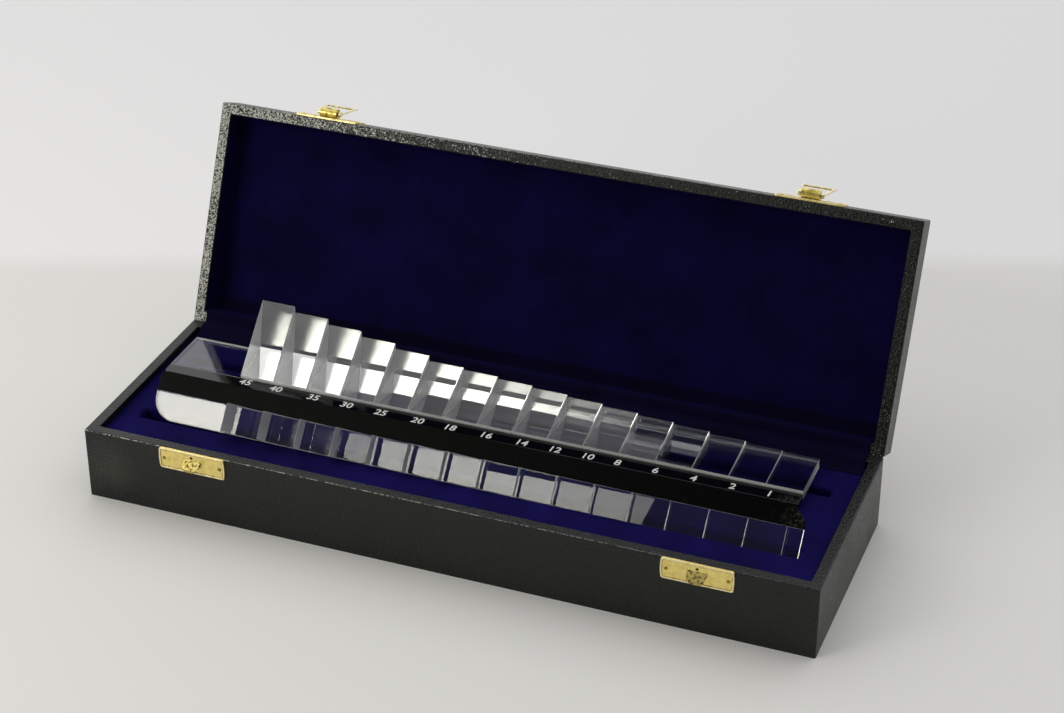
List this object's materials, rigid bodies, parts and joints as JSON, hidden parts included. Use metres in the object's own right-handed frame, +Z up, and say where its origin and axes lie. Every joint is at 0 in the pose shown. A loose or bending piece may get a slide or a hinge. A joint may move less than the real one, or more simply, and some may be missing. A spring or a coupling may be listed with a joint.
{
  "type": "cased prism bar set",
  "caption": "Hinged case with brass catches, holding two stepped bars of clear prisms in a slit velvet lining.",
  "frame": {"origin": "centre of the case's underside, on the surface that the case stands on", "axes": "+X along the case's length towards the bars' far ends, +Y from front to hinge, +Z up"},
  "size_m": [0.4, 0.2017, 0.1578],
  "materials": {
    "wood": "bare wood under the covering",
    "black_covering": "grained black leatherette, worn pale at the edges",
    "foam": "foam",
    "base_velvet": "deep blue velvet",
    "lid_velvet": "dark blue velvet",
    "catch_brass": "polished stamped brass",
    "tack_brass": "polished brass",
    "clear_plastic": "clear polished acrylic with ground sides",
    "black_plastic": "glossy black"
  },
  "bodies": {
    "base": {"base_front_board": "wood", "base_back_board": "wood", "base_left_board": "wood", "base_right_board": "wood", "base_bottom_board": "wood", "base_covering": "black_covering", "base_foam_pad": "foam", "base_velvet": "base_velvet", "base_catch_plate_left": "catch_brass", "base_catch_plate_right": "catch_brass", "base_catch_tacks": "tack_brass"},
    "lid": {"lid_front_board": "wood", "lid_back_board": "wood", "lid_left_board": "wood", "lid_right_board": "wood", "lid_top_board": "wood", "lid_covering": "black_covering", "lid_velvet": "lid_velvet", "lid_catch_plate_left": "catch_brass", "lid_catch_plate_right": "catch_brass", "lid_catch_tacks": "tack_brass"},
    "left_hoop": {"catch_hoop_left": "catch_brass"},
    "right_hoop": {"catch_hoop_right": "catch_brass"},
    "wide_bar": {"wide_bar_carrier": "clear_plastic", "wide_bar_number_strip": "black_plastic", "wide_bar_prism_45": "clear_plastic", "wide_bar_prism_40": "clear_plastic", "wide_bar_prism_35": "clear_plastic", "wide_bar_prism_30": "clear_plastic", "wide_bar_prism_25": "clear_plastic", "wide_bar_prism_20": "clear_plastic", "wide_bar_prism_18": "clear_plastic", "wide_bar_prism_16": "clear_plastic", "wide_bar_prism_14": "clear_plastic", "wide_bar_prism_12": "clear_plastic", "wide_bar_prism_10": "clear_plastic", "wide_bar_prism_8": "clear_plastic", "wide_bar_prism_6": "clear_plastic", "wide_bar_prism_4": "clear_plastic", "wide_bar_prism_2": "clear_plastic", "wide_bar_prism_1": "clear_plastic"},
    "narrow_bar": {"narrow_bar_carrier": "clear_plastic", "narrow_bar_black_strip": "black_plastic", "narrow_bar_prism_30": "clear_plastic", "narrow_bar_prism_25": "clear_plastic", "narrow_bar_prism_20": "clear_plastic", "narrow_bar_prism_18": "clear_plastic", "narrow_bar_prism_16": "clear_plastic", "narrow_bar_prism_14": "clear_plastic", "narrow_bar_prism_12": "clear_plastic", "narrow_bar_prism_10": "clear_plastic", "narrow_bar_prism_8": "clear_plastic", "narrow_bar_prism_6": "clear_plastic", "narrow_bar_prism_5": "clear_plastic", "narrow_bar_prism_4": "clear_plastic", "narrow_bar_prism_3": "clear_plastic", "narrow_bar_prism_2": "clear_plastic", "narrow_bar_prism_1": "clear_plastic"}
  },
  "joints": [
    {"name": "lid_hinge", "type": "hinge", "parent": "base", "child": "lid", "pos_m": [0, 0.062, 0.041], "axis": [-1, 0, 0], "range_deg": [-73, 0]},
    {"name": "left_hoop_pivot", "type": "hinge", "parent": "lid", "child": "left_hoop", "pos_m": [-0.1365, 0.11941, 0.15504], "axis": [1, 0, 0], "range_deg": [0, 167]},
    {"name": "right_hoop_pivot", "type": "hinge", "parent": "lid", "child": "right_hoop", "pos_m": [0.1387, 0.11941, 0.15504], "axis": [1, 0, 0], "range_deg": [0, 167]},
    {"name": "wide_bar_lift", "type": "slide", "parent": "base", "child": "wide_bar", "axis": [0, 0, 1], "range_m": [0, 0.06]},
    {"name": "narrow_bar_lift", "type": "slide", "parent": "base", "child": "narrow_bar", "axis": [0, 0, 1], "range_m": [0, 0.06]}
  ]
}
